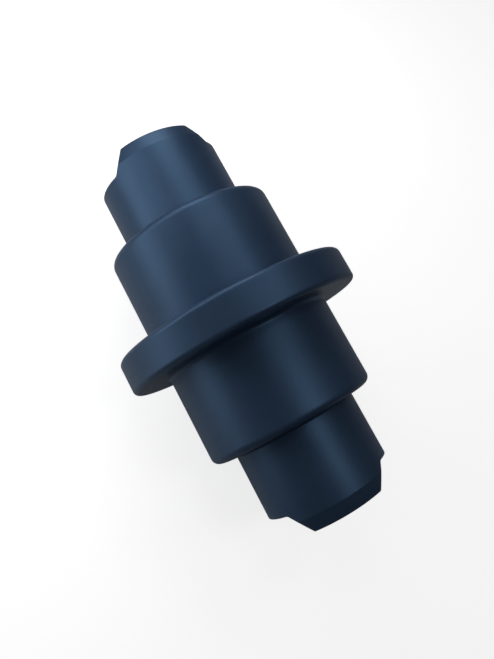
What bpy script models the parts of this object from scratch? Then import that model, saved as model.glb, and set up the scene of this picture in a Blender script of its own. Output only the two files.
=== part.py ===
"""Track roller with one central flange, for a small tracked excavator.

The shell turns on two bushes about a fixed shaft. A collar is pinned to each end of the shaft, and a
pair of lapped seal rings keeps the oil in where each collar meets the shell. The roller's axis is +Y, the
origin is its centre, and the flats of the collars face +X and -X. All lengths are in metres.

Each piece is drawn for the +Y end of the roller, along Y from its own station. Its twin at the -Y end is
the same mesh, turned half a turn about Z. The collars are pinned a few degrees round from that drawing,
each clockwise as seen from its own end, so the two tongues stand slightly out of line.
"""

import math

import bmesh
import bpy
from mathutils import Matrix, Vector

# Outside of the shell
FLANGE_DIAMETER = 0.1200
FLANGE_THICKNESS = 0.0170
FLANGE_EDGE_ROUND = 0.0024
FLANGE_ROOT_FILLET = 0.0020
TREAD_DIAMETER = 0.0845
SHELL_LENGTH = 0.1084
SHELL_EDGE_ROUND = 0.0037

# Outside of the collars
COLLAR_DIAMETER = 0.0623
SHOULDER_SPAN = 0.1727
OVERALL_LENGTH = 0.1937
COLLAR_EDGE_ROUND = 0.0006
TONGUE_ROOT_WIDTH = 0.0480
TONGUE_END_WIDTH = 0.0332
END_CHAMFER_LENGTH = 0.0068
END_CHAMFER_DEPTH = 0.0018
COLLAR_TURN = math.radians(3.85)

# Shaft and what runs on it
SHAFT_DIAMETER = 0.0260
SHAFT_RECESS = 0.0006
RUNNING_CLEARANCE = 0.0001
SEATED_GAP = 0.0002
BUSH_START = 0.0130
BUSH_LENGTH = 0.0270
BUSH_WALL = 0.0030
OIL_POCKET_DIAMETER = 0.0380
OIL_POCKET_LENGTH = 0.0240
WASHER_DIAMETER = 0.0400
WASHER_THICKNESS = 0.0026
EDGE_BREAK = 0.0005

# Seals, measured from the plane where the two lapped faces meet
SEAL_PLANE = SHELL_LENGTH / 2 + 0.0003
SEAL_FACE_GAP = 0.0003
SEAL_BORE_DIAMETER = 0.0376
SEAL_LIP_DIAMETER = 0.0492
SEAL_BODY_DIAMETER = 0.0426
SEAL_LIP_LENGTH = 0.0020
SEAL_RAMP_LENGTH = 0.0010
SEAL_RING_LENGTH = 0.0088
TORIC_STATION = 0.0059
TORIC_THICKNESS = 0.0046
SEAL_POCKET_DIAMETER = 0.0530
SEAL_POCKET_DEPTH = 0.0101
FACE_GAP = 0.0006
COLLAR_NOSE_DIAMETER = 0.0360

# Shaft O-ring, mounting thread, oil way and locking pin
O_RING_STATION = 0.0675
O_RING_THICKNESS = 0.0020
O_RING_GROOVE_WIDTH = 0.0028
O_RING_GROOVE_DEPTH = 0.0021
THREAD_BORE_DIAMETER = 0.0140
THREAD_BORE_DEPTH = 0.0280
THREAD_MOUTH_CHAMFER = 0.0012
OIL_WAY_DIAMETER = 0.0050
PLUG_SEAT_DIAMETER = 0.0094
PLUG_SEAT_DEPTH = 0.0090
PLUG_LENGTH = 0.0080
PLUG_SOCKET_WIDTH = 0.0040
PLUG_SOCKET_DEPTH = 0.0040
PIN_DIAMETER = 0.0060
PIN_STATION = 0.0770
PIN_DROP = 0.0120
PIN_LENGTH = 0.0540
PIN_CHAMFER = 0.0008

# Facets round a full turn
OUTER_FACETS = 48
INNER_FACETS = 32
RING_SECTION_SIDES = 8
PIN_FACETS = 12
HEXAGON = 6

# Steps along a quarter turn of a rounded edge or fillet
SHELL_EDGE_STEPS = 4
FLANGE_EDGE_STEPS = 3
ROOT_FILLET_STEPS = 2

SMOOTH_ANGLE = math.radians(40)

SIDES = {"right": 1, "left": -1}


def clear_scene():
    for leftover in list(bpy.data.objects):
        bpy.data.objects.remove(leftover, do_unlink=True)


def finish(name, colour, roughness, metallic):
    """A plain material: its colour, how rough it is and whether it is bare metal."""
    material = bpy.data.materials.new(name)
    material.use_nodes = True
    shader = material.node_tree.nodes["Principled BSDF"]
    shader.inputs["Base Color"].default_value = (*colour, 1.0)
    shader.inputs["Roughness"].default_value = roughness
    shader.inputs["Metallic"].default_value = metallic
    return material


def arc(centre, radius, start, end, count):
    """Points of a round corner as (distance from the axis, place along it), angles in degrees."""
    angles = [math.radians(start + (end - start) * step / count) for step in range(count + 1)]
    return [(centre[0] + radius * math.cos(a), centre[1] + radius * math.sin(a)) for a in angles]


def mesh_from(name, form):
    """A mesh with its faces pointing out and its round sides shaded smooth."""
    bmesh.ops.recalc_face_normals(form, faces=form.faces)
    mesh = bpy.data.meshes.new(name)
    form.to_mesh(mesh)
    form.free()
    mesh.shade_smooth()
    mesh.set_sharp_from_angle(angle=SMOOTH_ANGLE)
    return mesh


def turned(name, outline, facets):
    """Revolves an outline of (radius, y) points about Y. The first and last points lie on the axis, or
    the outline is a ring's closed section."""
    form = bmesh.new()
    circles = []
    for radius, y in outline:
        if radius == 0:
            circles.append([form.verts.new((0, y, 0))] * facets)
            continue
        turns = [2 * math.pi * step / facets for step in range(facets)]
        circles.append([form.verts.new((radius * math.cos(t), y, radius * math.sin(t))) for t in turns])
    on_axis = outline[0][0] == 0
    for here, there in zip(circles, circles[1:] + ([] if on_axis else circles[:1])):
        for step in range(facets):
            after = (step + 1) % facets
            corners = dict.fromkeys([here[step], here[after], there[after], there[step]])
            form.faces.new(list(corners))
    return mesh_from(name, form)


def bar(name, radius, start, end, facets):
    """A straight round bar between two points."""
    form = bmesh.new()
    length = (end - start).length
    turn = (end - start).to_track_quat("Z", "Y").to_matrix().to_4x4()
    turn.translation = (start + end) / 2
    bmesh.ops.create_cone(
        form, cap_ends=True, segments=facets, radius1=radius, radius2=radius, depth=length, matrix=turn
    )
    return mesh_from(name, form)


def prism(name, corners, half_height):
    """An upright block with the given (x, y) corners."""
    form = bmesh.new()
    base = form.faces.new([form.verts.new((x, y, -half_height)) for x, y in corners])
    grown = bmesh.ops.extrude_face_region(form, geom=[base])
    top = [item for item in grown["geom"] if isinstance(item, bmesh.types.BMVert)]
    bmesh.ops.translate(form, verts=top, vec=(0, 0, 2 * half_height))
    return mesh_from(name, form)


def carved(mesh, cutters):
    """The mesh with each cutter's shape taken out of it."""
    body = bpy.data.objects.new("blank", mesh)
    bpy.context.collection.objects.link(body)
    tools = []
    for cutter in cutters:
        tool = bpy.data.objects.new("cutter", cutter)
        tool.hide_render = True
        tool.display_type = "WIRE"
        bpy.context.collection.objects.link(tool)
        tools.append(tool)
        cut = body.modifiers.new("cut", "BOOLEAN")
        cut.operation = "DIFFERENCE"
        cut.solver = "EXACT"
        cut.object = tool
    graph = bpy.context.evaluated_depsgraph_get()
    result = bpy.data.meshes.new_from_object(body.evaluated_get(graph))
    for helper in [body, *tools]:
        bpy.data.objects.remove(helper, do_unlink=True)
    result.name = mesh.name
    result.shade_smooth()
    result.set_sharp_from_angle(angle=SMOOTH_ANGLE)
    return result


def place(name, mesh, material, holder, station=0.0, side=1, turn=0.0):
    """Puts a piece on the axis at its station, turned half a turn about Z at the -Y end. Turn is a further
    angle about the piece's own outward axis."""
    piece = bpy.data.objects.new(name, mesh)
    if not mesh.materials:
        mesh.materials.append(material)
    bpy.context.collection.objects.link(piece)
    piece.parent = holder
    piece.location = (0, side * station, 0)
    piece.rotation_euler = (0, turn, 0 if side > 0 else math.pi)
    return piece


def place_pair(name, mesh, material, holder, station=0.0, turn=0.0):
    for end, side in SIDES.items():
        place(f"{name}_{end}", mesh, material, holder, station, side, turn)


def holder_on_axis(name):
    holder = bpy.data.objects.new(name, None)
    bpy.context.collection.objects.link(holder)
    return holder


def shell():
    """The forged roller shell: two treads, the central flange and the stepped bore."""
    flange = FLANGE_DIAMETER / 2
    half_flange = FLANGE_THICKNESS / 2
    tread = TREAD_DIAMETER / 2
    end = SHELL_LENGTH / 2
    fillet = FLANGE_ROOT_FILLET
    pocket = SEAL_POCKET_DIAMETER / 2
    pocket_floor = SEAL_PLANE - SEAL_POCKET_DEPTH
    bush_seat = SHAFT_DIAMETER / 2 + RUNNING_CLEARANCE + BUSH_WALL + SEATED_GAP
    washer_seat = WASHER_DIAMETER / 2 + SEATED_GAP
    oil_pocket = OIL_POCKET_DIAMETER / 2
    washer_step = BUSH_START + BUSH_LENGTH
    half = [(oil_pocket, 0), (oil_pocket, OIL_POCKET_LENGTH / 2), (bush_seat, OIL_POCKET_LENGTH / 2)]
    half += [(bush_seat, washer_step), (washer_seat, washer_step), (washer_seat, pocket_floor)]
    half += [(pocket, pocket_floor), (pocket, end - EDGE_BREAK), (pocket + EDGE_BREAK, end)]
    end_centre = (tread - SHELL_EDGE_ROUND, end - SHELL_EDGE_ROUND)
    half += arc(end_centre, SHELL_EDGE_ROUND, 90, 0, SHELL_EDGE_STEPS)
    half += arc((tread + fillet, half_flange + fillet), fillet, 180, 270, ROOT_FILLET_STEPS)
    rim_centre = (flange - FLANGE_EDGE_ROUND, half_flange - FLANGE_EDGE_ROUND)
    half += arc(rim_centre, FLANGE_EDGE_ROUND, 90, 0, FLANGE_EDGE_STEPS)
    outline = half + [(radius, -y) for radius, y in reversed(half[1:])]
    return turned("roller_shell", outline, OUTER_FACETS)


def bush():
    """A plain bronze bush, pressed into the shell."""
    bore = SHAFT_DIAMETER / 2 + RUNNING_CLEARANCE
    outer = bore + BUSH_WALL
    outline = [(bore, 0), (bore, BUSH_LENGTH), (outer - EDGE_BREAK, BUSH_LENGTH)]
    outline += [(outer, BUSH_LENGTH - EDGE_BREAK), (outer, EDGE_BREAK), (outer - EDGE_BREAK, 0)]
    return turned("bush", outline, INNER_FACETS)


def thrust_washer():
    """A bronze washer between the shell and the collar's nose."""
    bore = SHAFT_DIAMETER / 2 + 2 * SEATED_GAP
    outer = WASHER_DIAMETER / 2
    outline = [(bore, 0), (bore, WASHER_THICKNESS), (outer - EDGE_BREAK, WASHER_THICKNESS)]
    outline += [(outer, WASHER_THICKNESS - EDGE_BREAK), (outer, 0)]
    return turned("thrust_washer", outline, INNER_FACETS)


def seal_ring():
    """A hard iron seal ring. Its lapped face lies at y = 0 and its body runs towards +Y."""
    bore = SEAL_BORE_DIAMETER / 2
    body = SEAL_BODY_DIAMETER / 2
    lip = SEAL_LIP_DIAMETER / 2
    ramp_end = SEAL_LIP_LENGTH + SEAL_RAMP_LENGTH
    outline = [(bore, 0), (lip - EDGE_BREAK, 0), (lip, EDGE_BREAK), (lip, SEAL_LIP_LENGTH)]
    outline += [(body, ramp_end), (body, SEAL_RING_LENGTH), (bore, SEAL_RING_LENGTH)]
    return turned("seal_ring", outline, INNER_FACETS)


def round_ring(name, mean_radius, thickness):
    """A rubber ring of round section, centred on y = 0."""
    section = arc((mean_radius, 0), thickness / 2, 0, 360, RING_SECTION_SIDES)
    return turned(name, section[:-1], INNER_FACETS)


def shaft():
    """The fixed shaft: O-ring grooves, a blind mounting thread in each end, the oil way and pin notches."""
    radius = SHAFT_DIAMETER / 2
    end = OVERALL_LENGTH / 2 - SHAFT_RECESS
    thread = THREAD_BORE_DIAMETER / 2
    floor = end - THREAD_BORE_DEPTH
    groove = radius - O_RING_GROOVE_DEPTH
    groove_start = O_RING_STATION - O_RING_GROOVE_WIDTH / 2
    groove_end = O_RING_STATION + O_RING_GROOVE_WIDTH / 2
    half = [(thread, floor), (thread, end - THREAD_MOUTH_CHAMFER), (thread + THREAD_MOUTH_CHAMFER, end)]
    half += [(radius - EDGE_BREAK, end), (radius, end - EDGE_BREAK), (radius, groove_end)]
    half += [(groove, groove_end), (groove, groove_start), (radius, groove_start)]
    oil_way = OIL_WAY_DIAMETER / 2
    plug_seat = PLUG_SEAT_DIAMETER / 2
    seat_floor = floor - PLUG_SEAT_DEPTH
    way_end = -OIL_WAY_DIAMETER
    outline = [(0, way_end), (oil_way, way_end), (oil_way, seat_floor), (plug_seat, seat_floor)]
    outline += [(plug_seat, floor)] + half + [(r, -y) for r, y in reversed(half)] + [(0, -floor)]
    cross_way = bar(
        "oil_cross_way", oil_way, Vector((0, 0, 0)), Vector((0, 0, -SHAFT_DIAMETER)), PIN_FACETS
    )
    notches = [pin_hole(side * PIN_STATION, side * COLLAR_TURN) for side in SIDES.values()]
    return carved(turned("shaft", outline, INNER_FACETS), [cross_way, *notches])


def pin_hole(y, turn=0.0):
    """The hole for a locking pin. It crosses below the shaft's centre and bites into the shaft."""
    radius = PIN_DIAMETER / 2 + SEATED_GAP
    about_axis = Matrix.Rotation(turn, 3, "Y")
    start = about_axis @ Vector((-COLLAR_DIAMETER, y, -PIN_DROP))
    end = about_axis @ Vector((COLLAR_DIAMETER, y, -PIN_DROP))
    return bar("pin_hole", radius, start, end, PIN_FACETS)


def side_relief(side):
    """What is cut from one side of a collar's end to leave the tapered tongue."""
    shoulder = SHOULDER_SPAN / 2
    end = OVERALL_LENGTH / 2
    taper = (TONGUE_ROOT_WIDTH - TONGUE_END_WIDTH) / 2 / (end - shoulder)
    past_end = end + COLLAR_EDGE_ROUND
    near = TONGUE_ROOT_WIDTH / 2
    far = near - taper * (past_end - shoulder)
    reach = COLLAR_DIAMETER
    corners = [(near, shoulder), (reach, shoulder), (reach, past_end), (far, past_end)]
    return prism("side_relief", [(side * x, y) for x, y in corners], reach)


def collar():
    """A collar: nose and seal pocket inboard, shoulder and tapered tongue outboard."""
    radius = COLLAR_DIAMETER / 2
    bore = SHAFT_DIAMETER / 2 + SEATED_GAP
    nose = COLLAR_NOSE_DIAMETER / 2
    nose_face = BUSH_START + BUSH_LENGTH + WASHER_THICKNESS + 2 * SEATED_GAP
    pocket = SEAL_POCKET_DIAMETER / 2
    pocket_floor = SEAL_PLANE + SEAL_POCKET_DEPTH
    face = SHELL_LENGTH / 2 + FACE_GAP
    end = OVERALL_LENGTH / 2
    rounding = COLLAR_EDGE_ROUND
    chamfer_start = end - END_CHAMFER_LENGTH
    outline = [(bore, nose_face), (nose - EDGE_BREAK, nose_face), (nose, nose_face + EDGE_BREAK)]
    outline += [(nose, pocket_floor), (pocket, pocket_floor), (pocket, face)]
    outline += [(radius - rounding, face), (radius, face + rounding), (radius, chamfer_start)]
    outline += [(radius - END_CHAMFER_DEPTH, end), (bore + EDGE_BREAK, end), (bore, end - EDGE_BREAK)]
    cutters = [side_relief(side) for side in SIDES.values()] + [pin_hole(PIN_STATION)]
    return carved(turned("collar", outline, OUTER_FACETS), cutters)


def locking_pin():
    """The pin through a collar and the shaft's notch, lying along X."""
    radius = PIN_DIAMETER / 2
    half = PIN_LENGTH / 2
    outline = [(0, -half), (radius - PIN_CHAMFER, -half), (radius, -half + PIN_CHAMFER)]
    outline += [(r, -y) for r, y in reversed(outline)]
    mesh = turned("locking_pin", outline, PIN_FACETS)
    for vertex in mesh.vertices:
        x, y, z = vertex.co
        vertex.co = (y, -x, z - PIN_DROP)
    return mesh


def oil_plug():
    """The screwed plug that closes the oil way, with a hexagon socket. Its outer face is at y = 0."""
    radius = PLUG_SEAT_DIAMETER / 2 - SEATED_GAP
    outline = [(0, -PLUG_LENGTH), (radius, -PLUG_LENGTH), (radius, -EDGE_BREAK)]
    outline += [(radius - EDGE_BREAK, 0), (0, 0)]
    across_corners = PLUG_SOCKET_WIDTH / math.cos(math.pi / HEXAGON)
    socket = bar(
        "socket",
        across_corners / 2,
        Vector((0, -PLUG_SOCKET_DEPTH, 0)),
        Vector((0, PLUG_SOCKET_DEPTH, 0)),
        HEXAGON,
    )
    return carved(turned("oil_plug", outline, INNER_FACETS // 2), [socket])


def washer_station():
    return BUSH_START + BUSH_LENGTH + SEATED_GAP


def build_roller():
    """Everything that turns."""
    paint = finish("shell_paint", (0.017, 0.043, 0.097), 0.50, 0.0)
    bronze = finish("bush_bronze", (0.58, 0.36, 0.14), 0.35, 1.0)
    washer_bronze = finish("washer_bronze", (0.55, 0.33, 0.13), 0.40, 1.0)
    iron = finish("roller_seal_iron", (0.42, 0.42, 0.43), 0.22, 1.0)
    rubber = finish("roller_toric_rubber", (0.015, 0.015, 0.015), 0.60, 0.0)
    turning = holder_on_axis("roller_spin_axis")
    place("roller_shell", shell(), paint, turning)
    place_pair("bush", bush(), bronze, turning, BUSH_START)
    place_pair("thrust_washer", thrust_washer(), washer_bronze, turning, washer_station())
    lapped = SEAL_PLANE - SEAL_FACE_GAP / 2
    for end, side in SIDES.items():
        ring = place(f"roller_seal_ring_{end}", seal_ring(), iron, turning, lapped, side)
        ring.rotation_euler.z += math.pi
    mean = (SEAL_BODY_DIAMETER + SEAL_POCKET_DIAMETER) / 4
    toric = round_ring("roller_toric", mean, TORIC_THICKNESS)
    place_pair("roller_toric", toric, rubber, turning, SEAL_PLANE - TORIC_STATION)


def build_axle():
    """Everything that stays still: the shaft, its collars and what they hold."""
    steel = finish("shaft_steel", (0.50, 0.50, 0.51), 0.30, 1.0)
    paint = finish("collar_paint", (0.017, 0.043, 0.097), 0.50, 0.0)
    iron = finish("collar_seal_iron", (0.42, 0.42, 0.43), 0.22, 1.0)
    rubber = finish("collar_toric_rubber", (0.015, 0.015, 0.015), 0.60, 0.0)
    o_ring_rubber = finish("o_ring_rubber", (0.020, 0.020, 0.020), 0.55, 0.0)
    pin_steel = finish("pin_steel", (0.30, 0.30, 0.31), 0.40, 1.0)
    plug_steel = finish("plug_steel", (0.34, 0.34, 0.35), 0.45, 1.0)
    fixed = holder_on_axis("axle_axis")
    place("shaft", shaft(), steel, fixed)
    place_pair("collar", collar(), paint, fixed, turn=COLLAR_TURN)
    place_pair("collar_pin", locking_pin(), pin_steel, fixed, PIN_STATION, COLLAR_TURN)
    place_pair("collar_seal_ring", seal_ring(), iron, fixed, SEAL_PLANE + SEAL_FACE_GAP / 2)
    mean = (SEAL_BODY_DIAMETER + SEAL_POCKET_DIAMETER) / 4
    place_pair(
        "collar_toric",
        round_ring("collar_toric", mean, TORIC_THICKNESS),
        rubber,
        fixed,
        SEAL_PLANE + TORIC_STATION,
    )
    groove_floor = SHAFT_DIAMETER / 2 - O_RING_GROOVE_DEPTH
    collar_bore = SHAFT_DIAMETER / 2 + SEATED_GAP
    o_ring = round_ring("shaft_o_ring", (groove_floor + collar_bore) / 2, O_RING_THICKNESS)
    place_pair("shaft_o_ring", o_ring, o_ring_rubber, fixed, O_RING_STATION)
    plug_face = OVERALL_LENGTH / 2 - SHAFT_RECESS - THREAD_BORE_DEPTH - SEATED_GAP
    place("oil_plug", oil_plug(), plug_steel, fixed, plug_face)


clear_scene()
build_roller()
build_axle()
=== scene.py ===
"""Looks of the track roller: fine meshes, painted and bare metal, a pale studio and the camera.

The roller's axis is +Y and its centre is the origin. Outlines are drawn as (radius, y), in metres, for the
+Y end of the roller. A piece at the -Y end is the same mesh turned half a turn about Z.
"""

import math
from typing import NamedTuple

import bmesh
import bpy
from mathutils import Matrix, Vector


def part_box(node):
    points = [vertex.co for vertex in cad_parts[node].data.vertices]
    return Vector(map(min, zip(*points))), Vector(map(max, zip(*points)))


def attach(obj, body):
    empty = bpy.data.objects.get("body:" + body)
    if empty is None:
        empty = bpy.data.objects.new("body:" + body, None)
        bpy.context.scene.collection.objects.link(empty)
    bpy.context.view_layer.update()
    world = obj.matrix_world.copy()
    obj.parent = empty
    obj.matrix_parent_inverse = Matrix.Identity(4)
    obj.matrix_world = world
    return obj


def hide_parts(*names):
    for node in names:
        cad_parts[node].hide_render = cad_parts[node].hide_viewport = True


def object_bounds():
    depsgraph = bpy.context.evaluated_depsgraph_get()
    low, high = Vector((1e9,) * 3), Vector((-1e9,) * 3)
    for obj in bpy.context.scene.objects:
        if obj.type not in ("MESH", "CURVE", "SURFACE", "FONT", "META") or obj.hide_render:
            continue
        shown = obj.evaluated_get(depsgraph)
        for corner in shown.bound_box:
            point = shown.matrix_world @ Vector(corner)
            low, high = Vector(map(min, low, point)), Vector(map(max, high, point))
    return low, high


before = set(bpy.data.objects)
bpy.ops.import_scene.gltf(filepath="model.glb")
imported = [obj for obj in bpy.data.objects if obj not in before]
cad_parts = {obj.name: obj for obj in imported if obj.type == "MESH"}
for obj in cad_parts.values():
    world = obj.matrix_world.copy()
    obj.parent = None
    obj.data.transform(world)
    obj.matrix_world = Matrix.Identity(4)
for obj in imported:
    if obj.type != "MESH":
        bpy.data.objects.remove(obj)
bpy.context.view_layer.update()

# Facets of the fine meshes, and how far outside an arc its support points stand
LARGE_STEPS = 256
SMALL_STEPS = 128
PIN_STEPS = 64
SECTION_STEPS = 24
FILLET_STEPS = 7
BEVEL_STEPS = 4
HEXAGON = 6
SUPPORT_REACH = 0.00035
SMOOTH_ANGLE = math.radians(28)

# Gaps and small roundings
SEAL_GAP = 0.0003
FIT_GAP = 0.0002
BUSH_GAP = 0.0001
WASHER_GAP = 0.0004
EDGE_BREAK = 0.0004

# Shell: sizes that the frame's boxes don't give, as for every piece below
TREAD_RADIUS = 0.04225
FLANGE_HALF = 0.0085
FLANGE_EDGE_ROUND = 0.0024
FLANGE_ROOT_FILLET = 0.0020
SHELL_EDGE_ROUND = 0.0037
SEAL_POCKET_RADIUS = 0.0265
SEAL_POCKET_DEPTH = 0.0101
SEAL_POCKET_ROUND = 0.0008
OIL_POCKET_RADIUS = 0.0190
OIL_POCKET_HALF = 0.0120

# Thrust washers: the groove's radius as a share of the washer's thickness
OIL_GROOVE_SHARE = 1 / 3

# Seal rings and rubber rings
SEAL_BORE_RADIUS = 0.0188
SEAL_BODY_RADIUS = 0.0213
SEAL_LIP_LENGTH = 0.0020
SEAL_RAMP_LENGTH = 0.0010
TORIC_RADIUS = 0.0023
O_RING_RADIUS = 0.0010
O_RING_GROOVE_DEPTH = 0.0021
O_RING_GROOVE_HALF = 0.0014

# Collars
COLLAR_RADIUS = 0.03115
COLLAR_NOSE_RADIUS = 0.0180
COLLAR_EDGE_ROUND = 0.0008
COLLAR_END_ROUND = 0.0011
COLLAR_TURN = math.radians(3.85)
SHOULDER = 0.08635
TONGUE_ROOT_HALF = 0.0240
TONGUE_END_HALF = 0.0166
TONGUE_ROOT_FILLET = 0.0015
END_CHAMFER_LENGTH = 0.0068
END_CHAMFER_DEPTH = 0.0018

# Locking pins: the dimple's radius is a share of the pin's
PIN_DROP = 0.0120
PIN_HALF = 0.0270
PIN_CHAMFER = 0.0008
PIN_DIMPLE_SHARE = 0.25
PIN_DIMPLE_ROUND = 0.0001

# Mounting threads: each ridge is sunk a little into the wall of its bore, and starts and ends as a faint
# share of its full height
THREAD_PITCH = 0.0020
THREAD_CORE_RADIUS = 0.0070
THREAD_MAJOR_RADIUS = 0.0080
THREAD_CREST_HALF = 0.00014
THREAD_BASE_HALF = 0.00086
THREAD_BORE_DEPTH = 0.0280
THREAD_MOUTH = 0.0009
THREAD_MOUTH_ROUND = 0.0002
THREAD_RELIEF = 0.0010
THREAD_SINK = 0.0001
THREAD_FAINT = 0.02
THREAD_FADE_TURNS = 0.25

# Oil way, which runs a little past the roller's middle, and the plug that closes it
OIL_WAY_RADIUS = 0.0025
OIL_WAY_OVERRUN = 0.0050
PLUG_SEAT_DEPTH = 0.0090
PLUG_SOCKET_WIDTH = 0.0040
PLUG_SOCKET_DEPTH = 0.0040

# A surface that turns outwards this fast, in radians per metre, counts as a worn edge
EDGE_TURN = 900.0

SIDES = {"right": 1, "left": -1}


# ---------------------------------------------------------------- mesh tools


def filleted(corners, closed):
    """A fine outline through (radius, y, fillet) corners: each fillet becomes an arc, with a support point
    on each side of it so that the straight stretches stay flat under smooth shading."""
    count = len(corners)
    outline = []
    for index, (radius, y, fillet) in enumerate(corners):
        corner = Vector((radius, y))
        at_end = not closed and index in (0, count - 1)
        if fillet == 0 or at_end:
            outline.append(corner)
            continue
        before = Vector(corners[index - 1][:2]) - corner
        after = Vector(corners[(index + 1) % count][:2]) - corner
        reach_before, reach_after = before.length, after.length
        before.normalize()
        after.normalize()
        half_angle = math.acos(max(-1, min(1, before.dot(after)))) / 2
        tangent = fillet / math.tan(half_angle)
        centre = corner + (before + after).normalized() * (fillet / math.sin(half_angle))
        if reach_before > tangent + 2 * SUPPORT_REACH:
            outline.append(corner + before * (tangent + SUPPORT_REACH))
        first = corner + before * tangent - centre
        last = corner + after * tangent - centre
        sweep = first.angle_signed(last)
        for step in range(FILLET_STEPS + 1):
            turn = Matrix.Rotation(-sweep * step / FILLET_STEPS, 2)
            outline.append(centre + turn @ first)
        if reach_after > tangent + 2 * SUPPORT_REACH:
            outline.append(corner + after * (tangent + SUPPORT_REACH))
    return [(point.x, point.y) for point in outline]


def finished_mesh(name, form):
    bmesh.ops.recalc_face_normals(form, faces=form.faces)
    mesh = bpy.data.meshes.new(name)
    form.to_mesh(mesh)
    form.free()
    mesh.shade_smooth()
    mesh.set_sharp_from_angle(angle=SMOOTH_ANGLE)
    return mesh


def turned(name, outline, steps):
    """Revolves an outline about Y. It is a ring's closed section, or starts and ends on the axis."""
    form = bmesh.new()
    circles = []
    for radius, y in outline:
        if radius == 0:
            circles.append([form.verts.new((0, y, 0))] * steps)
            continue
        turns = [2 * math.pi * step / steps for step in range(steps)]
        circles.append([form.verts.new((radius * math.cos(t), y, radius * math.sin(t))) for t in turns])
    on_axis = outline[0][0] == 0
    for here, there in zip(circles, circles[1:] + ([] if on_axis else circles[:1])):
        for step in range(steps):
            after = (step + 1) % steps
            corners = dict.fromkeys([here[step], here[after], there[after], there[step]])
            form.faces.new(list(corners))
    return finished_mesh(name, form)


def bar(name, radius, start, end, steps):
    """A straight bar between two points."""
    form = bmesh.new()
    start, end = Vector(start), Vector(end)
    place = (end - start).to_track_quat("Z", "Y").to_matrix().to_4x4()
    place.translation = (start + end) / 2
    length = (end - start).length
    bmesh.ops.create_cone(
        form, cap_ends=True, segments=steps, radius1=radius, radius2=radius, depth=length, matrix=place
    )
    return finished_mesh(name, form)


def prism(name, corners, half_height):
    """An upright block with the given (x, y) corners."""
    form = bmesh.new()
    base = form.faces.new([form.verts.new((x, y, -half_height)) for x, y in corners])
    grown = bmesh.ops.extrude_face_region(form, geom=[base])
    top = [item for item in grown["geom"] if isinstance(item, bmesh.types.BMVert)]
    bmesh.ops.translate(form, verts=top, vec=(0, 0, 2 * half_height))
    return finished_mesh(name, form)


def carved(mesh, cutters, edge_round=0.0):
    """The mesh with each cutter taken out of it, and its sharp edges rounded if edge_round is given."""
    blank = bpy.data.objects.new("blank", mesh)
    bpy.context.scene.collection.objects.link(blank)
    helpers = [blank]
    for cutter in cutters:
        tool = bpy.data.objects.new("cutter", cutter)
        bpy.context.scene.collection.objects.link(tool)
        helpers.append(tool)
        cut = blank.modifiers.new("cut", "BOOLEAN")
        cut.operation = "DIFFERENCE"
        cut.solver = "EXACT"
        cut.object = tool
    if edge_round:
        rounding = blank.modifiers.new("edges", "BEVEL")
        rounding.width = edge_round
        rounding.segments = BEVEL_STEPS
        rounding.limit_method = "ANGLE"
        rounding.angle_limit = SMOOTH_ANGLE
        rounding.use_clamp_overlap = True
        rounding.harden_normals = True
    graph = bpy.context.evaluated_depsgraph_get()
    result = bpy.data.meshes.new_from_object(blank.evaluated_get(graph))
    result.name = mesh.name
    for helper in helpers:
        bpy.data.objects.remove(helper, do_unlink=True)
    if not edge_round:
        result.shade_smooth()
        result.set_sharp_from_angle(angle=SMOOTH_ANGLE)
    return result


def helix_ridge(name, start, end):
    """One thread ridge as a closed solid: a trapezoid section swept along a helix, fading in and out over
    its first and last quarter turn."""
    form = bmesh.new()
    turns = (end - start - 2 * THREAD_BASE_HALF) / THREAD_PITCH
    count = int(turns * PIN_STEPS)
    fade = THREAD_FADE_TURNS * PIN_STEPS
    root = THREAD_MAJOR_RADIUS + THREAD_SINK
    sections = []
    for step in range(count + 1):
        angle = 2 * math.pi * step / PIN_STEPS
        middle = start + THREAD_BASE_HALF + THREAD_PITCH * step / PIN_STEPS
        grown = max(THREAD_FAINT, min(1, step / fade, (count - step) / fade))
        crest = THREAD_MAJOR_RADIUS - (THREAD_MAJOR_RADIUS - THREAD_CORE_RADIUS) * grown
        section = [(root, -THREAD_BASE_HALF), (crest, -THREAD_CREST_HALF)]
        section += [(crest, THREAD_CREST_HALF), (root, THREAD_BASE_HALF)]
        around = [(r * math.cos(angle), middle + y, r * math.sin(angle)) for r, y in section]
        sections.append([form.verts.new(point) for point in around])
    for here, there in zip(sections, sections[1:]):
        for index in range(len(here)):
            after = (index + 1) % len(here)
            form.faces.new([here[index], here[after], there[after], there[index]])
    form.faces.new(sections[0])
    form.faces.new(sections[-1])
    return finished_mesh(name, form)


def mark_edges(mesh):
    """Stores an edge value at each point: 0 where the surface is flat, 1 on a tightly rounded edge."""
    form = bmesh.new()
    form.from_mesh(mesh)
    marks = []
    for vertex in form.verts:
        sharpest = 0.0
        for edge in vertex.link_edges:
            if len(edge.link_faces) == 2:
                here, there = (face.calc_center_median() for face in edge.link_faces)
                sharpest = max(sharpest, edge.calc_face_angle_signed() / (here - there).length)
        marks.append(min(1.0, sharpest / EDGE_TURN))
    form.free()
    mesh.attributes.new("edge", "FLOAT", "POINT").data.foreach_set("value", marks)


def show(name, mesh, node, body, material, side=1, turn=0.0):
    """Puts a fine piece in place of its CAD node, on the node's body."""
    piece = bpy.data.objects.new(name, mesh)
    bpy.context.scene.collection.objects.link(piece)
    if not mesh.materials:
        mesh.materials.append(material)
    if "edge" not in mesh.attributes:
        mark_edges(mesh)
    piece.rotation_euler = (0, turn, 0 if side > 0 else math.pi)
    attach(piece, body)
    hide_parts(node)


def show_pair(name, mesh, body, material, turn=0.0):
    """The same fine piece at both ends, in place of NAME_right and NAME_left."""
    for end, side in SIDES.items():
        show(f"fine_{name}_{end}", mesh, f"{name}_{end}", body, material, side, turn)


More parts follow.
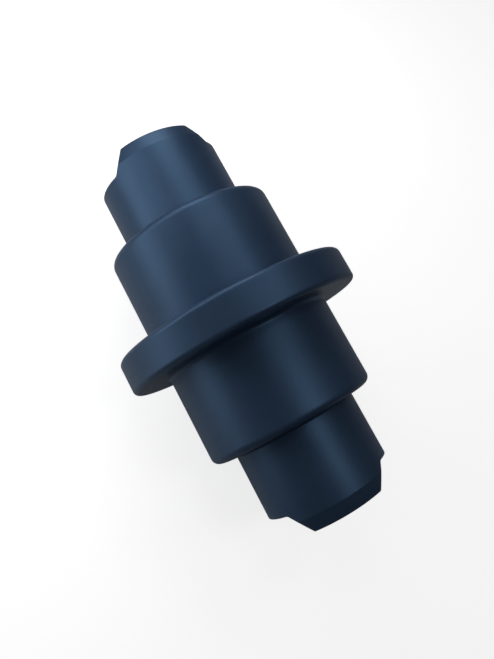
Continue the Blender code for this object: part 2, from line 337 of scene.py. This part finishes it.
def reach(node):
    """(largest radius, lowest y, highest y) of a turned CAD node."""
    low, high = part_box(node)
    return high.x, low.y, high.y


# ---------------------------------------------------------------- materials


class Texture(NamedTuple):
    """A pattern over a surface: the size of its marks in metres, how much finer detail they have, the values
    that count as none and as full, and how deep it stands in metres."""

    size: float
    detail: float = 2.0
    none: float = 0.3
    full: float = 0.7
    depth: float = 0.0


def put(tree, socket, value):
    """Gives a socket a plain value or a link."""
    if isinstance(value, bpy.types.NodeSocket):
        tree.links.new(value, socket)
    else:
        socket.default_value = value


def add(tree, kind, settings=None, **values):
    """Adds a shader node: settings are its own options, and each value is a number, a colour or a link."""
    made = tree.nodes.new(kind)
    for option, choice in (settings or {}).items():
        setattr(made, option, choice)
    for socket, value in values.items():
        put(tree, made.inputs[socket.replace("_", " ")], value)
    return made


def math_node(tree, kind, operation, *values):
    """A math node of either kind, with each value a number, a vector or a link."""
    made = add(tree, kind, {"operation": operation})
    for socket, value in zip(made.inputs, values):
        put(tree, socket, value)
    return made


def calculate(tree, operation, *values):
    """The result of one operation on plain numbers."""
    return math_node(tree, "ShaderNodeMath", operation, *values).outputs["Value"]


def between(tree, value, low, high, out_low=0, out_high=1):
    """Maps low..high to out_low..out_high, and stops there."""
    mapped = add(tree, "ShaderNodeMapRange", Value=value)
    limits = {"From Min": low, "From Max": high, "To Min": out_low, "To Max": out_high}
    for socket, limit in limits.items():
        mapped.inputs[socket].default_value = limit
    return mapped.outputs["Result"]


def noise(tree, texture, place):
    """The texture as cloudy noise."""
    fineness = {"Scale": 1 / texture.size, "Detail": texture.detail}
    return add(tree, "ShaderNodeTexNoise", Vector=place, **fineness).outputs["Fac"]


def along_axis(tree, place):
    return add(tree, "ShaderNodeSeparateXYZ", Vector=place).outputs["Y"]


def axis_distance(tree, place):
    """The distance from the roller's axis."""
    flat = math_node(tree, "ShaderNodeVectorMath", "MULTIPLY", place, (1, 0, 1)).outputs["Vector"]
    return math_node(tree, "ShaderNodeVectorMath", "LENGTH", flat).outputs["Value"]


def lathe_rings(tree, texture, place):
    """The texture as rings round the axis: they follow y along a round side and the radius across a face."""
    travel = calculate(tree, "ADD", axis_distance(tree, place), along_axis(tree, place))
    fineness = {"Scale": 1 / texture.size, "Detail": texture.detail}
    rings = add(tree, "ShaderNodeTexNoise", {"noise_dimensions": "1D"}, W=travel, **fineness)
    return rings.outputs["Fac"]


def spread(tree, texture, pattern, target=(0, 1)):
    """A pattern spread over a target range, from its texture's none to its full."""
    return between(tree, pattern, texture.none, texture.full, *target)


def patches(tree, texture, place):
    """Cloudy patches from 0 to 1."""
    return spread(tree, texture, noise(tree, texture, place))


def edge_wear(tree, texture, place):
    """How worn the surface is: its rounded edges, broken up by patches of the texture."""
    edge = add(tree, "ShaderNodeAttribute", {"attribute_name": "edge"}).outputs["Fac"]
    return calculate(tree, "MULTIPLY", edge, patches(tree, texture, place))


def blend(tree, amount, low, high):
    """A colour between two, each a plain colour or a link."""
    mixed = add(tree, "ShaderNodeMixRGB", Fac=amount)
    for socket, colour in (("Color1", low), ("Color2", high)):
        linked = isinstance(colour, bpy.types.NodeSocket)
        put(tree, mixed.inputs[socket], colour if linked else (*colour, 1))
    return mixed.outputs["Color"]


def relief(tree, texture, pattern, under=None):
    """Bump as deep as the texture says, laid over the bump below it."""
    bump = add(tree, "ShaderNodeBump", Height=pattern, Distance=texture.depth)
    if under:
        tree.links.new(under, bump.inputs["Normal"])
    return bump.outputs["Normal"]


def new_material(name, metallic):
    """(material, its node tree, its shader, the position on the piece)"""
    material = bpy.data.materials.new(name)
    material.use_nodes = True
    tree = material.node_tree
    shader = tree.nodes["Principled BSDF"]
    shader.inputs["Metallic"].default_value = metallic
    place = add(tree, "ShaderNodeTexCoord").outputs["Object"]
    return material, tree, shader, place


def connect(tree, shader, colour, roughness, normal):
    tree.links.new(colour, shader.inputs["Base Color"])
    tree.links.new(roughness, shader.inputs["Roughness"])
    tree.links.new(normal, shader.inputs["Normal"])


PAINT_DARK = (0.0280, 0.0510, 0.0990)
PAINT_LIGHT = (0.0364, 0.0654, 0.1246)
PAINT_RUBBED = (0.0480, 0.0800, 0.1400)
PAINT_IOR = 1.8
PAINT_GLOSS = 0.66
PAINT_GLOSS_TINT = (0.32, 0.60, 1.00, 1)
PAINT_ROUGHNESS = (0.38, 0.48)
PAINT_TONE = Texture(size=0.035, detail=3.0, none=0.35, full=0.65)
PAINT_WEAR = Texture(size=0.004, detail=6.0, none=0.42, full=0.75)
PAINT_GRAIN = Texture(size=0.00035, none=0.25, full=0.75, depth=0.000006)
PAINT_PEEL = Texture(size=0.0022, depth=0.000045)
PAINT_RINGS = Texture(size=0.0009, depth=0.000010)


def satin_paint():
    """Sprayed satin blue-black enamel: slow changes of tone, a faint orange peel over the turning marks of
    the forging, a fine grain that scatters the gloss, and thinner, rubbed paint along the edges."""
    material, tree, shader, place = new_material("satin_paint", 0.0)
    colour = blend(tree, patches(tree, PAINT_TONE, place), PAINT_DARK, PAINT_LIGHT)
    colour = blend(tree, edge_wear(tree, PAINT_WEAR, place), colour, PAINT_RUBBED)
    grain = noise(tree, PAINT_GRAIN, place)
    roughness = spread(tree, PAINT_GRAIN, grain, PAINT_ROUGHNESS)
    normal = relief(tree, PAINT_RINGS, lathe_rings(tree, PAINT_RINGS, place))
    normal = relief(tree, PAINT_PEEL, noise(tree, PAINT_PEEL, place), normal)
    normal = relief(tree, PAINT_GRAIN, grain, normal)
    shader.inputs["IOR"].default_value = PAINT_IOR
    shader.inputs["Specular IOR Level"].default_value = PAINT_GLOSS
    shader.inputs["Specular Tint"].default_value = PAINT_GLOSS_TINT
    connect(tree, shader, colour, roughness, normal)
    return material


STEEL_PLAIN = (0.48, 0.48, 0.49)
STEEL_STRAW = (0.40, 0.37, 0.32)
STEEL_ROUGHNESS = (0.26, 0.40)
STEEL_TINT = Texture(size=0.012, detail=4.0, none=0.4, full=0.7)
STEEL_RINGS = Texture(size=0.00018, depth=0.000006)
SPRAY_SKIN = Texture(size=0.0015, detail=5.0, depth=0.000020)

# The spray reaches this far from the end face, is full this far from it, and has an edge this ragged and
# this soft where it has rubbed off
SPRAY_REACH = 0.0012
SPRAY_FULL = 0.0004
SPRAY_RAGGED = 0.0030
SPRAY_SOFT = 0.0004


def sprayed(tree, pattern, end, place):
    """Where the shaft took the spray: on its end faces, outside the mouth of the thread."""
    out = calculate(tree, "ABSOLUTE", along_axis(tree, place))
    at_end = between(tree, out, end - SPRAY_REACH, end - SPRAY_FULL)
    uneven = calculate(tree, "MULTIPLY_ADD", pattern, -SPRAY_RAGGED, axis_distance(tree, place))
    outside = between(tree, uneven, THREAD_MAJOR_RADIUS - SPRAY_SOFT, THREAD_MAJOR_RADIUS)
    return calculate(tree, "MULTIPLY", at_end, outside)


def ground_steel(end):
    """The shaft: ground and oiled, with a straw tint in patches. Its two end faces took the spray, which
    has rubbed off round the mouth of the thread."""
    material, tree, shader, place = new_material("ground_steel", 1.0)
    steel = blend(tree, patches(tree, STEEL_TINT, place), STEEL_PLAIN, STEEL_STRAW)
    skin = noise(tree, SPRAY_SKIN, place)
    painted = sprayed(tree, skin, end, place)
    colour = blend(tree, painted, steel, PAINT_DARK)
    bare = between(tree, painted, 0, 1, 1, 0)
    tree.links.new(bare, shader.inputs["Metallic"])
    rings = lathe_rings(tree, STEEL_RINGS, place)
    roughness = spread(tree, STEEL_RINGS, rings, STEEL_ROUGHNESS)
    normal = relief(tree, STEEL_RINGS, rings)
    connect(tree, shader, colour, roughness, relief(tree, SPRAY_SKIN, skin, normal))
    return material


CUT_BRIGHT = (0.50, 0.50, 0.51)
CUT_OILY = (0.27, 0.25, 0.22)
CUT_ROUGHNESS = (0.28, 0.46)
CUT_OIL = Texture(size=0.0025, detail=4.0, none=0.35, full=0.7)
CUT_SCRATCHES = Texture(size=0.00025, detail=3.0, depth=0.000010)


def cut_steel():
    """The threads: bright steel with darker, oily patches."""
    material, tree, shader, place = new_material("cut_steel", 1.0)
    colour = blend(tree, patches(tree, CUT_OIL, place), CUT_BRIGHT, CUT_OILY)
    scratches = noise(tree, CUT_SCRATCHES, place)
    roughness = spread(tree, CUT_SCRATCHES, scratches, CUT_ROUGHNESS)
    connect(tree, shader, colour, roughness, relief(tree, CUT_SCRATCHES, scratches))
    return material


BUSH_BRONZE = ((0.52, 0.32, 0.13), (0.64, 0.42, 0.19))
WASHER_BRONZE = ((0.50, 0.30, 0.12), (0.60, 0.38, 0.16))
BRONZE_RUBBED = (0.78, 0.56, 0.30)
BRONZE_ROUGHNESS = (0.28, 0.44)
BRONZE_TONE = Texture(size=0.008, detail=4.0)
BRONZE_WEAR = Texture(size=0.002, detail=6.0, none=0.35, full=0.6)
BUSH_RINGS = Texture(size=0.0005, depth=0.000012)
WASHER_RINGS = Texture(size=0.0003, depth=0.000012)


def turned_bronze(name, colours, ring_texture):
    """Bearing bronze with turning rings, brighter where the edges have been handled."""
    material, tree, shader, place = new_material(name, 1.0)
    colour = blend(tree, patches(tree, BRONZE_TONE, place), *colours)
    colour = blend(tree, edge_wear(tree, BRONZE_WEAR, place), colour, BRONZE_RUBBED)
    rings = lathe_rings(tree, ring_texture, place)
    roughness = spread(tree, ring_texture, rings, BRONZE_ROUGHNESS)
    connect(tree, shader, colour, roughness, relief(tree, ring_texture, rings))
    return material


IRON_DARK = (0.30, 0.30, 0.31)
IRON_LIGHT = (0.46, 0.46, 0.47)
IRON_ROUGHNESS = (0.20, 0.36)
IRON_SKIN = Texture(size=0.0012, detail=5.0, depth=0.000012)
IRON_LAPPING = Texture(size=0.00012, depth=0.000004)


def lapped_iron():
    """Hard white iron: a grey cast skin with faint pits, and fine lapping rings."""
    material, tree, shader, place = new_material("lapped_iron", 1.0)
    skin = noise(tree, IRON_SKIN, place)
    colour = blend(tree, spread(tree, IRON_SKIN, skin), IRON_DARK, IRON_LIGHT)
    roughness = spread(tree, IRON_SKIN, skin, IRON_ROUGHNESS)
    normal = relief(tree, IRON_LAPPING, lathe_rings(tree, IRON_LAPPING, place))
    connect(tree, shader, colour, roughness, relief(tree, IRON_SKIN, skin, normal))
    return material


TORIC_BLACK = ((0.0150, 0.0150, 0.0150), (0.0375, 0.0375, 0.0360))
TORIC_ROUGHNESS = (0.50, 0.70)
O_RING_BLACK = ((0.020, 0.020, 0.020), (0.050, 0.050, 0.048))
O_RING_ROUGHNESS = (0.42, 0.62)
RUBBER_BLOOM = Texture(size=0.005, detail=4.0, none=0.5, full=0.8)
RUBBER_GRAIN = Texture(size=0.00030, detail=3.0, depth=0.000012)


def black_rubber(name, colours, roughness_range):
    """Moulded nitrile rubber: a dull black with a fine grain and a bloom of paler dust in patches."""
    material, tree, shader, place = new_material(name, 0.0)
    colour = blend(tree, patches(tree, RUBBER_BLOOM, place), *colours)
    grain = noise(tree, RUBBER_GRAIN, place)
    roughness = spread(tree, RUBBER_GRAIN, grain, roughness_range)
    connect(tree, shader, colour, roughness, relief(tree, RUBBER_GRAIN, grain))
    return material


PIN_STEEL = ((0.20, 0.20, 0.21), (0.32, 0.32, 0.33))
PLUG_STEEL = ((0.10, 0.10, 0.10), (0.22, 0.21, 0.20))
BLACKING_RUBBED = (0.55, 0.55, 0.56)
BLACKING_ROUGHNESS = (0.34, 0.52)
BLACKING_TONE = Texture(size=0.003, detail=5.0, none=0.35, full=0.7)
BLACKING_WEAR = Texture(size=0.001, detail=6.0, none=0.35, full=0.6)
PIN_MARKS = Texture(size=0.0005, detail=3.0, depth=0.000012)
PLUG_MARKS = Texture(size=0.0003, detail=3.0, depth=0.000012)


def dark_steel(name, colours, mark_texture):
    """Hardened and blackened steel, uneven in tone and rubbed bright along its edges."""
    material, tree, shader, place = new_material(name, 1.0)
    colour = blend(tree, patches(tree, BLACKING_TONE, place), *colours)
    colour = blend(tree, edge_wear(tree, BLACKING_WEAR, place), colour, BLACKING_RUBBED)
    marks = noise(tree, mark_texture, place)
    roughness = spread(tree, mark_texture, marks, BLACKING_ROUGHNESS)
    connect(tree, shader, colour, roughness, relief(tree, mark_texture, marks))
    return material


# ---------------------------------------------------------------- pieces that turn


def shell_mesh():
    """Two treads, the central flange and the stepped bore."""
    flange, _, end = reach("roller_shell")
    bush_radius, _, bush_end = reach("bush_right")
    washer_radius = reach("thrust_washer_right")[0]
    bush_seat = bush_radius + FIT_GAP
    washer_seat = washer_radius + FIT_GAP
    pocket_floor = end + SEAL_GAP - SEAL_POCKET_DEPTH
    half = [
        (OIL_POCKET_RADIUS, OIL_POCKET_HALF, EDGE_BREAK),
        (bush_seat, OIL_POCKET_HALF, EDGE_BREAK),
        (bush_seat, bush_end, EDGE_BREAK),
        (washer_seat, bush_end, EDGE_BREAK),
        (washer_seat, pocket_floor, EDGE_BREAK),
        (SEAL_POCKET_RADIUS, pocket_floor, SEAL_POCKET_ROUND),
        (SEAL_POCKET_RADIUS, end, SEAL_POCKET_ROUND),
        (TREAD_RADIUS, end, SHELL_EDGE_ROUND),
        (TREAD_RADIUS, FLANGE_HALF, FLANGE_ROOT_FILLET),
        (flange, FLANGE_HALF, FLANGE_EDGE_ROUND),
    ]
    corners = half + [(radius, -y, fillet) for radius, y, fillet in reversed(half)]
    return turned("shell", filleted(corners, True), LARGE_STEPS)


def rounded_ring(name, bore, outer, start, end):
    """A plain ring with its four edges broken."""
    edges = [(bore, start), (bore, end), (outer, end), (outer, start)]
    return turned(name, filleted([(*edge, EDGE_BREAK) for edge in edges], True), SMALL_STEPS)


def bush_mesh():
    outer, start, end = reach("bush_right")
    bore = reach("shaft")[0] + BUSH_GAP
    return rounded_ring("bush", bore, outer, start, end)


def washer_mesh():
    """A thrust washer with four radial oil grooves across the face that the collar's nose runs on."""
    outer, start, end = reach("thrust_washer_right")
    bore = reach("shaft")[0] + WASHER_GAP
    blank = rounded_ring("thrust_washer", bore, outer, start, end)
    across = 2 * outer
    groove = (end - start) * OIL_GROOVE_SHARE
    reaches = [((-across, end, 0), (across, end, 0)), ((0, end, -across), (0, end, across))]
    return carved(blank, [bar("oil_groove", groove, first, last, PIN_STEPS) for first, last in reaches])


def seal_ring_mesh(node, lapped, back):
    """A seal ring from its lapped face to its back, drawn for the +Y end."""
    lip = reach(node)[0]
    way = 1 if back > lapped else -1
    lip_end = lapped + way * SEAL_LIP_LENGTH
    corners = [
        (SEAL_BORE_RADIUS, lapped, EDGE_BREAK),
        (lip, lapped, EDGE_BREAK),
        (lip, lip_end, EDGE_BREAK),
        (SEAL_BODY_RADIUS, lip_end + way * SEAL_RAMP_LENGTH, EDGE_BREAK),
        (SEAL_BODY_RADIUS, back, EDGE_BREAK),
        (SEAL_BORE_RADIUS, back, EDGE_BREAK),
    ]
    return turned("seal_ring", filleted(corners, True), SMALL_STEPS)


def rubber_ring_mesh(node, section_radius, mean_radius):
    """A rubber ring of round section, halfway along its CAD node."""
    _, start, end = reach(node)
    middle = (start + end) / 2
    angles = [2 * math.pi * step / SECTION_STEPS for step in range(SECTION_STEPS)]
    section = [
        (mean_radius + section_radius * math.cos(a), middle + section_radius * math.sin(a)) for a in angles
    ]
    return turned("rubber_ring", section, SMALL_STEPS)


# ---------------------------------------------------------------- pieces that stay still


def pin_hole():
    """The hole for a locking pin, in the collar's own frame."""
    _, start, end = reach("collar_pin_right")
    radius = (end - start) / 2 + FIT_GAP
    middle = (start + end) / 2
    across = 2 * COLLAR_RADIUS
    return bar("pin_hole", radius, (-across, middle, -PIN_DROP), (across, middle, -PIN_DROP), PIN_STEPS)


def side_relief(side):
    """What is cut from one side of a collar's end to leave the tapered tongue."""
    end = reach("collar_right")[2]
    taper = (TONGUE_ROOT_HALF - TONGUE_END_HALF) / (end - SHOULDER)
    past_end = end + EDGE_BREAK
    across = 2 * COLLAR_RADIUS
    far = TONGUE_ROOT_HALF - taper * (past_end - SHOULDER)
    corners = [(TONGUE_ROOT_HALF, SHOULDER, TONGUE_ROOT_FILLET), (across, SHOULDER, 0)]
    corners += [(across, past_end, 0), (far, past_end, 0)]
    return prism("side_relief", [(side * x, y) for x, y in filleted(corners, True)], across)


def collar_mesh():
    """Nose and seal pocket inboard, shoulder and tapered tongue outboard."""
    _, nose_face, end = reach("collar_right")
    bore = reach("shaft")[0] + FIT_GAP
    shell_end = reach("roller_shell")[2]
    face = shell_end + 2 * SEAL_GAP
    pocket_floor = shell_end + SEAL_GAP + SEAL_POCKET_DEPTH
    corners = [
        (bore, nose_face, EDGE_BREAK),
        (COLLAR_NOSE_RADIUS, nose_face, EDGE_BREAK),
        (COLLAR_NOSE_RADIUS, pocket_floor, EDGE_BREAK),
        (SEAL_POCKET_RADIUS, pocket_floor, SEAL_POCKET_ROUND),
        (SEAL_POCKET_RADIUS, face, EDGE_BREAK),
        (COLLAR_RADIUS, face, COLLAR_EDGE_ROUND),
        (COLLAR_RADIUS, end - END_CHAMFER_LENGTH, COLLAR_EDGE_ROUND),
        (COLLAR_RADIUS - END_CHAMFER_DEPTH, end, COLLAR_END_ROUND),
        (bore, end, EDGE_BREAK),
    ]
    blank = turned("collar", filleted(corners, True), SMALL_STEPS)
    cutters = [side_relief(side) for side in SIDES.values()] + [pin_hole()]
    return carved(blank, cutters, COLLAR_EDGE_ROUND)


def pin_mesh():
    """A hardened dowel along X, with a centre dimple in each chamfered end."""
    _, start, end = reach("collar_pin_right")
    radius = (end - start) / 2
    middle = (start + end) / 2
    dimple = radius * PIN_DIMPLE_SHARE
    half = [(0, -PIN_HALF + PIN_CHAMFER, 0), (dimple, -PIN_HALF, PIN_DIMPLE_ROUND)]
    half += [(radius - PIN_CHAMFER, -PIN_HALF, EDGE_BREAK), (radius, -PIN_HALF + PIN_CHAMFER, EDGE_BREAK)]
    corners = half + [(r, -y, fillet) for r, y, fillet in reversed(half)]
    mesh = turned("locking_pin", filleted(corners, False), PIN_STEPS)
    for vertex in mesh.vertices:
        along, around = vertex.co.y, vertex.co.x
        vertex.co = (along, middle - around, vertex.co.z - PIN_DROP)
    return mesh


def thread_floor():
    return reach("shaft")[2] - THREAD_BORE_DEPTH


def shaft_mesh():
    """The shaft: O-ring grooves, a threaded bore in each end, the oil way and the pin notches."""
    radius, _, end = reach("shaft")
    _, groove_low, groove_high = reach("shaft_o_ring_right")
    groove = (groove_low + groove_high) / 2
    groove_floor = radius - O_RING_GROOVE_DEPTH
    floor = thread_floor()
    plug_radius = reach("oil_plug")[0] + FIT_GAP
    seat_floor = floor - PLUG_SEAT_DEPTH
    half = [
        (THREAD_CORE_RADIUS, floor, EDGE_BREAK),
        (THREAD_CORE_RADIUS, floor + THREAD_PITCH, 0),
        (THREAD_MAJOR_RADIUS, floor + THREAD_PITCH + THREAD_RELIEF, 0),
        (THREAD_MAJOR_RADIUS, end - THREAD_MOUTH, 0),
        (THREAD_MAJOR_RADIUS + THREAD_MOUTH, end, THREAD_MOUTH_ROUND),
        (radius, end, EDGE_BREAK),
        (radius, groove + O_RING_GROOVE_HALF, EDGE_BREAK),
        (groove_floor, groove + O_RING_GROOVE_HALF, EDGE_BREAK),
        (groove_floor, groove - O_RING_GROOVE_HALF, EDGE_BREAK),
        (radius, groove - O_RING_GROOVE_HALF, EDGE_BREAK),
    ]
    way_end = -OIL_WAY_OVERRUN
    corners = [(0, way_end, 0), (OIL_WAY_RADIUS, way_end, 0), (OIL_WAY_RADIUS, seat_floor, 0)]
    corners += [(plug_radius, seat_floor, 0), (plug_radius, floor, EDGE_BREAK)] + half
    corners += [(r, -y, fillet) for r, y, fillet in reversed(half)] + [(0, -floor, 0)]
    cutters = [bar("oil_cross_way", OIL_WAY_RADIUS, (0, 0, 0), (0, 0, -2 * radius), PIN_STEPS)]
    for side in SIDES.values():
        notch = pin_hole()
        about_axis = Matrix.Rotation(COLLAR_TURN, 4, "Y")
        end_turn = Matrix.Rotation(0 if side > 0 else math.pi, 4, "Z")
        notch.transform(end_turn @ about_axis)
        cutters.append(notch)
    return carved(turned("shaft", filleted(corners, False), SMALL_STEPS), cutters)


def thread_mesh():
    return helix_ridge("thread", thread_floor() + THREAD_PITCH, reach("shaft")[2] - THREAD_MOUTH)


def plug_mesh():
    """The screwed oil plug, with its hexagon socket facing out of the thread bore."""
    radius, start, end = reach("oil_plug")
    corners = [(0, start, 0), (radius, start, EDGE_BREAK), (radius, end, EDGE_BREAK), (0, end, 0)]
    across_corners = PLUG_SOCKET_WIDTH / math.cos(math.pi / HEXAGON)
    reaches = [(0, end - PLUG_SOCKET_DEPTH, 0), (0, end + PLUG_SOCKET_DEPTH, 0)]
    socket = bar("socket", across_corners / 2, *reaches, HEXAGON)
    return carved(turned("oil_plug", filleted(corners, False), SMALL_STEPS), [socket])


# ---------------------------------------------------------------- the whole roller


def seals_and_torics(owner, body, rubber):
    """The seal ring and toric ring that this owner carries at each end."""
    node = f"{owner}_seal_ring_right"
    _, start, end = reach(node)
    lapped, back = (end, start) if owner == "roller" else (start, end)
    ring = seal_ring_mesh(node, lapped, back)
    show_pair(f"{owner}_seal_ring", ring, body, lapped_iron())
    mean_radius = (SEAL_BODY_RADIUS + SEAL_POCKET_RADIUS) / 2
    toric = rubber_ring_mesh(f"{owner}_toric_right", TORIC_RADIUS, mean_radius)
    show_pair(f"{owner}_toric", toric, body, rubber)


def build_roller(paint, rubber):
    bronze = turned_bronze("bush_bronze", BUSH_BRONZE, BUSH_RINGS)
    washer_bronze = turned_bronze("washer_bronze", WASHER_BRONZE, WASHER_RINGS)
    show("fine_roller_shell", shell_mesh(), "roller_shell", "roller", paint)
    show_pair("bush", bush_mesh(), "roller", bronze)
    show_pair("thrust_washer", washer_mesh(), "roller", washer_bronze)
    seals_and_torics("roller", "roller", rubber)


def build_shaft():
    """The shaft with the thread ridges in its ends."""
    steel = ground_steel(reach("shaft")[2])
    show("fine_shaft", shaft_mesh(), "shaft", "axle", steel)
    threads = thread_mesh()
    cut = cut_steel()
    for end, side in SIDES.items():
        show(f"fine_thread_{end}", threads, "shaft", "axle", cut, side)


def build_collars(paint, rubber):
    """The collars with their pins, seals and O-rings."""
    show_pair("collar", collar_mesh(), "axle", paint, COLLAR_TURN)
    pin_steel = dark_steel("pin_steel", PIN_STEEL, PIN_MARKS)
    show_pair("collar_pin", pin_mesh(), "axle", pin_steel, COLLAR_TURN)
    seals_and_torics("collar", "axle", rubber)
    shaft_radius = reach("shaft")[0]
    bore = shaft_radius + FIT_GAP
    ring_middle = (shaft_radius - O_RING_GROOVE_DEPTH + bore) / 2
    o_ring = rubber_ring_mesh("shaft_o_ring_right", O_RING_RADIUS, ring_middle)
    o_ring_rubber = black_rubber("o_ring_rubber", O_RING_BLACK, O_RING_ROUGHNESS)
    show_pair("shaft_o_ring", o_ring, "axle", o_ring_rubber)


def build_plug():
    plug_steel = dark_steel("plug_steel", PLUG_STEEL, PLUG_MARKS)
    show("fine_oil_plug", plug_mesh(), "oil_plug", "axle", plug_steel)


def build_pieces():
    paint = satin_paint()
    rubber = black_rubber("toric_rubber", TORIC_BLACK, TORIC_ROUGHNESS)
    build_roller(paint, rubber)
    build_shaft()
    build_collars(paint, rubber)
    build_plug()


# ---------------------------------------------------------------- studio

CAMERA_PLACE = (-0.05259, -0.03502, 0.28896)
CAMERA_TURNS = (14.91, -8.56, -29.05)
CAMERA_LENS = 32.6
CAMERA_SHIFT = (-0.0332, -0.0722)
CAMERA_NEAR = 0.01

# Soft lamps aimed at the roller: (angle from +X towards +Y, height angle, distance, width, watts)
LAMPS = {
    "end_key": (80, 33, 0.26, 0.15, 0.12),
    "end_side": (122, 37, 0.26, 0.15, 0.07),
    "end_high": (60, 50, 0.28, 0.15, 0.04),
    "side_key": (150, 20, 0.40, 0.20, 0.20),
    "low_fill": (175, 8, 0.60, 0.30, 0.25),
    "high_glow": (70, 70, 0.50, 0.15, 0.06),
    "rim_light": (20, 55, 0.60, 0.15, 0.14),
    "front_rim": (-30, 58, 0.60, 0.15, 0.11),
    "front_high": (-35, 70, 0.50, 0.12, 0.10),
}
ROOM_LIGHT = 0.02
BACKDROP_LIGHT = 0.85
FLOOR_HALF = 3.0
FLOOR_SHADE = 0.9
FLOOR_ROUGHNESS = 0.7
FLOOR_GLOW = 0.75
WHITE = (1, 1, 1, 1)


def build_camera():
    camera = bpy.data.objects.new("camera", bpy.data.cameras.new("camera"))
    bpy.context.scene.collection.objects.link(camera)
    camera.location = CAMERA_PLACE
    camera.rotation_euler = [math.radians(angle) for angle in CAMERA_TURNS]
    camera.data.lens = CAMERA_LENS
    camera.data.shift_x, camera.data.shift_y = CAMERA_SHIFT
    camera.data.clip_start = CAMERA_NEAR
    bpy.context.scene.camera = camera


def glow_seen(tree, on_roller, seen_directly):
    """A glow of one strength where it lights the roller and another where it is only the background."""
    seen = add(tree, "ShaderNodeLightPath").outputs["Is Camera Ray"]
    return between(tree, seen, 0, 1, on_roller, seen_directly)


def floor_material():
    """A pale matt sheet, lit from behind just enough to read as white. Only the camera sees that glow, so
    it puts no light on the underside of the roller."""
    material = bpy.data.materials.new("floor_white")
    material.use_nodes = True
    tree = material.node_tree
    shader = tree.nodes["Principled BSDF"]
    shader.inputs["Base Color"].default_value = (FLOOR_SHADE, FLOOR_SHADE, FLOOR_SHADE, 1)
    shader.inputs["Roughness"].default_value = FLOOR_ROUGHNESS
    shader.inputs["Emission Color"].default_value = WHITE
    tree.links.new(glow_seen(tree, 0, FLOOR_GLOW), shader.inputs["Emission Strength"])
    return material


def build_floor():
    form = bmesh.new()
    bmesh.ops.create_grid(form, x_segments=1, y_segments=1, size=FLOOR_HALF)
    floor = bpy.data.objects.new("floor", finished_mesh("floor", form))
    floor.location.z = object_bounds()[0].z
    bpy.context.scene.collection.objects.link(floor)
    floor.data.materials.append(floor_material())


def build_light():
    world = bpy.data.worlds.new("studio")
    bpy.context.scene.world = world
    world.use_nodes = True
    background = world.node_tree.nodes["Background"]
    background.inputs["Color"].default_value = WHITE
    tree = world.node_tree
    tree.links.new(glow_seen(tree, ROOM_LIGHT, BACKDROP_LIGHT), background.inputs["Strength"])
    for name, (around, height, distance, width, watts) in LAMPS.items():
        lamp = bpy.data.lights.new(name, "AREA")
        lamp.shape = "DISK"
        lamp.size = width
        lamp.energy = watts
        holder = bpy.data.objects.new(name, lamp)
        bpy.context.scene.collection.objects.link(holder)
        around, height = math.radians(around), math.radians(height)
        level = math.cos(height)
        away = Vector((level * math.cos(around), level * math.sin(around), math.sin(height)))
        holder.location = away * distance
        holder.rotation_euler = (-away).to_track_quat("-Z", "Y").to_euler()
        holder.visible_camera = False


build_pieces()
build_floor()
build_light()
build_camera()
bpy.context.scene.view_settings.view_transform = "Standard"
